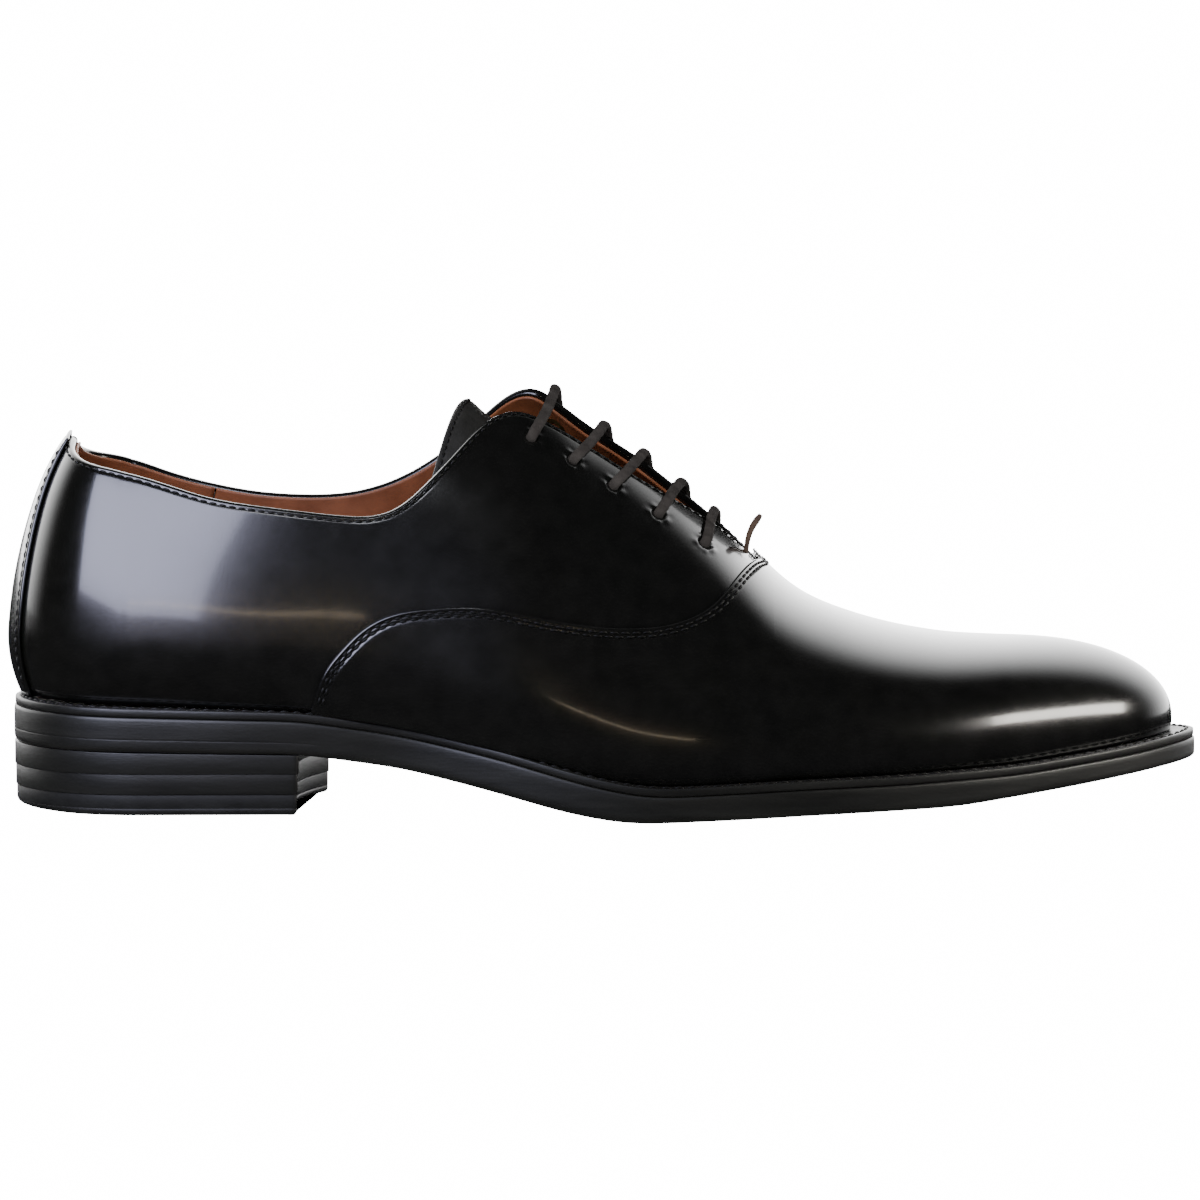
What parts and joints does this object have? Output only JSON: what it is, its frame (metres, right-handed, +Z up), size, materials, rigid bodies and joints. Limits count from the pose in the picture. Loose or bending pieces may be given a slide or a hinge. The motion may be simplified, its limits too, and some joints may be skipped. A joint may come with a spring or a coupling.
{
  "type": "leather oxford shoe",
  "caption": "Black leather lace-up oxford shoe for the right foot: plain-toe vamp over closed facings, welted leather sole, stacked heel and a tongue that tips at the throat.",
  "frame": {"origin": "middle of the heel's tread on the ground, 35.7 mm ahead of the heel's back", "axes": "+X to the toe, +Y to the inner side of the foot, +Z up"},
  "size_m": [0.3072, 0.1052, 0.1065],
  "materials": {
    "black_leather": "high-gloss brush-off leather with fine grain",
    "tan_lining": "smooth unglazed tan lining leather",
    "natural_leather": "raw vegetable-tanned board, matte",
    "sole_leather": "black stained edge, waxed, satin",
    "heel_rubber": "matte black rubber",
    "cork": "granulated cork, matte",
    "spring_steel": "plain rolled strip",
    "nail_steel": "drawn wire",
    "eyelet_brass": "plain brass",
    "textile": "woven reinforcing tape",
    "stiffener": "impregnated stiffener sheet, matte",
    "waxed_cord": "braided waxed cotton"
  },
  "bodies": {
    "shoe": {"top_piece": "heel_rubber", "heel_lift_lower": "sole_leather", "heel_lift_upper": "sole_leather", "heel_nails": "nail_steel", "outsole": "sole_leather", "welt": "sole_leather", "cork_filler": "cork", "shank": "spring_steel", "insole": "natural_leather", "heel_sock": "tan_lining", "vamp": "black_leather", "vamp_lining": "tan_lining", "toe_puff": "stiffener", "quarter_lateral": "black_leather", "quarter_medial": "black_leather", "quarter_lining_lateral": "tan_lining", "quarter_lining_medial": "tan_lining", "facing_stay_lateral": "textile", "facing_stay_medial": "textile", "heel_counter": "stiffener", "heel_lining": "tan_lining", "topline_tape": "textile", "back_strip": "black_leather", "blind_eyelets": "eyelet_brass", "lace": "waxed_cord"},
    "tongue": {"tongue": "black_leather", "tongue_lining": "tan_lining"}
  },
  "joints": [
    {"name": "tongue_hinge", "type": "hinge", "parent": "shoe", "child": "tongue", "pos_m": [0.1495, 0, 0.0575], "axis": [0, 1, 0], "range_deg": [-12, 0]}
  ]
}
